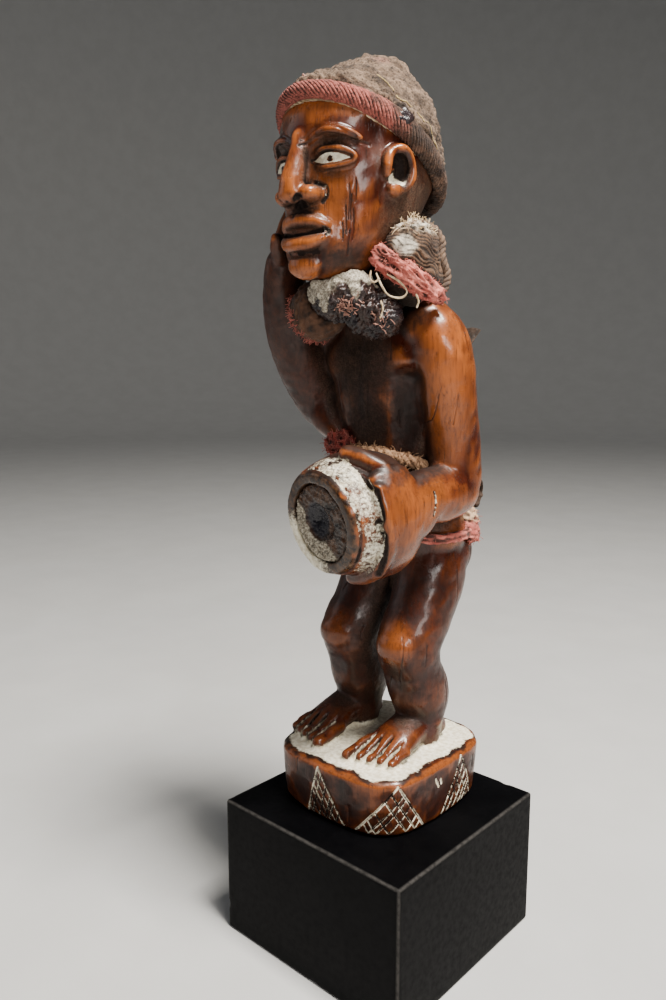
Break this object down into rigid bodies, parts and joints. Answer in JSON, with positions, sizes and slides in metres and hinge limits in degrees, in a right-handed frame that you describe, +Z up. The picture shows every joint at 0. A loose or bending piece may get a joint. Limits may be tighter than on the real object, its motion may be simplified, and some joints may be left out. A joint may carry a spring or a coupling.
{
  "type": "power figure",
  "caption": "Carved wooden power figure with a hand to its jaw and a drum under its arm, in a cloth cap and neck bundles, on a black block.",
  "frame": {"origin": "centre of the black block's underside", "axes": "+Z up; the figure faces -Y and its left side is at +X"},
  "size_m": [0.0846, 0.0879, 0.3039],
  "materials": {
    "carved_wood": "glossy worn patina with kaolin in the cuts",
    "clay_and_resin": "crusted clay over dark resin",
    "cap_cloth": "coarse cloth, stiff with clay",
    "red_cloth": "faded red cloth",
    "bag_cloth": "greasy brown cloth",
    "hide": "dried hide",
    "black_paint": "matt black paint on wood"
  },
  "bodies": {
    "root": {"carved_figure": "carved_wood", "drum_charge": "clay_and_resin", "cap": "cap_cloth", "front_charge": "clay_and_resin", "right_bag": "bag_cloth", "left_bundle": "bag_cloth", "back_bundle": "bag_cloth", "red_tie": "red_cloth", "waist_cord": "red_cloth", "hip_band": "red_cloth", "hide_strap": "hide", "display_plinth": "black_paint"}
  },
  "joints": []
}
